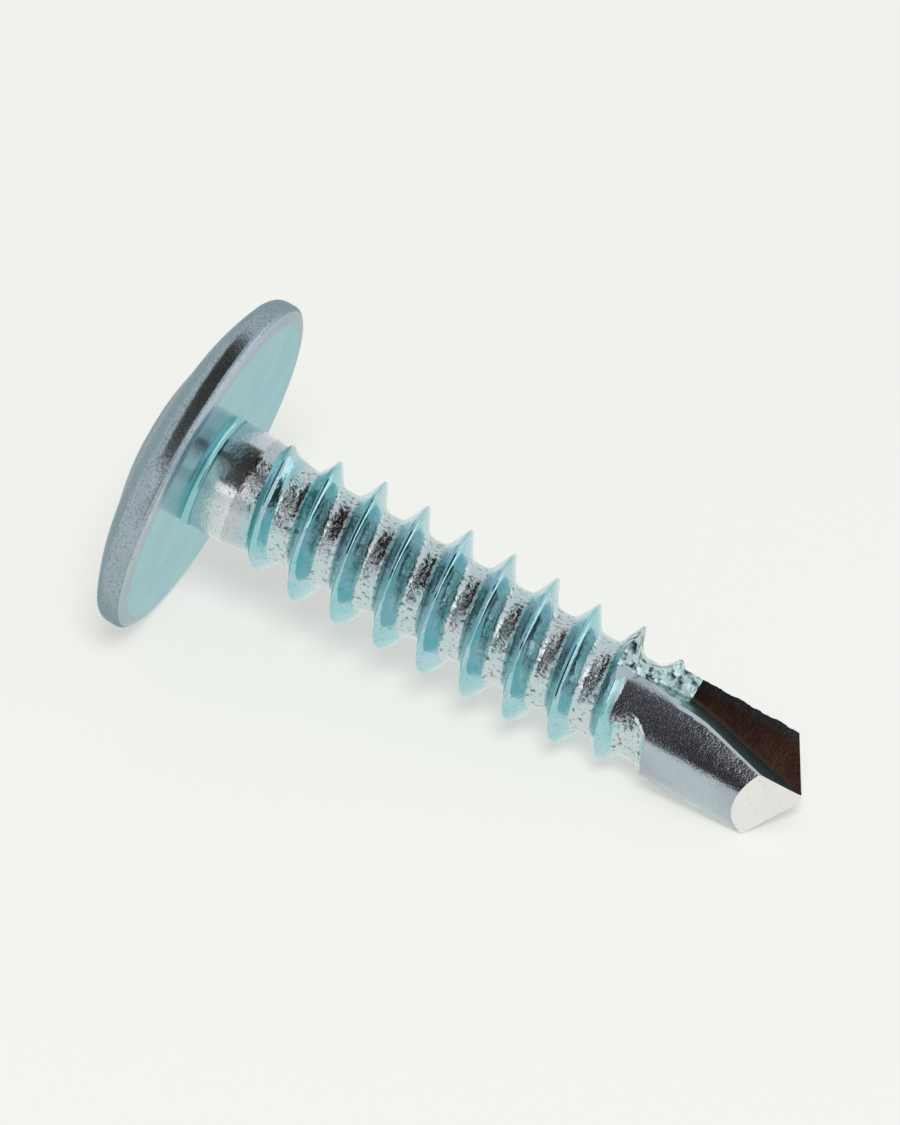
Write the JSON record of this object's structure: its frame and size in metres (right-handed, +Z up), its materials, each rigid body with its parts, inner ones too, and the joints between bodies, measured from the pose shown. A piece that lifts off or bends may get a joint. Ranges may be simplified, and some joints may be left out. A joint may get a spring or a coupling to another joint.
{
  "type": "self-drilling screw",
  "caption": "One-piece self-drilling screw with a wide low wafer head, a cross recess, a coarse right-hand thread and a fluted drill point, zinc plated.",
  "frame": {"origin": "on the resting surface, under the middle of the lying screw", "axes": "+X from the head towards the drill point, +Z up from the surface; the axis lies in the XZ plane and dips towards +X, because the screw rests on its head's rim and on two corners of its drill point"},
  "size_m": [0.0208, 0.0102, 0.0101],
  "materials": {
    "zinc_plated_steel": "bright zinc plating with a blue-green passivation"
  },
  "bodies": {
    "root": {"screw": "zinc_plated_steel"}
  },
  "joints": []
}
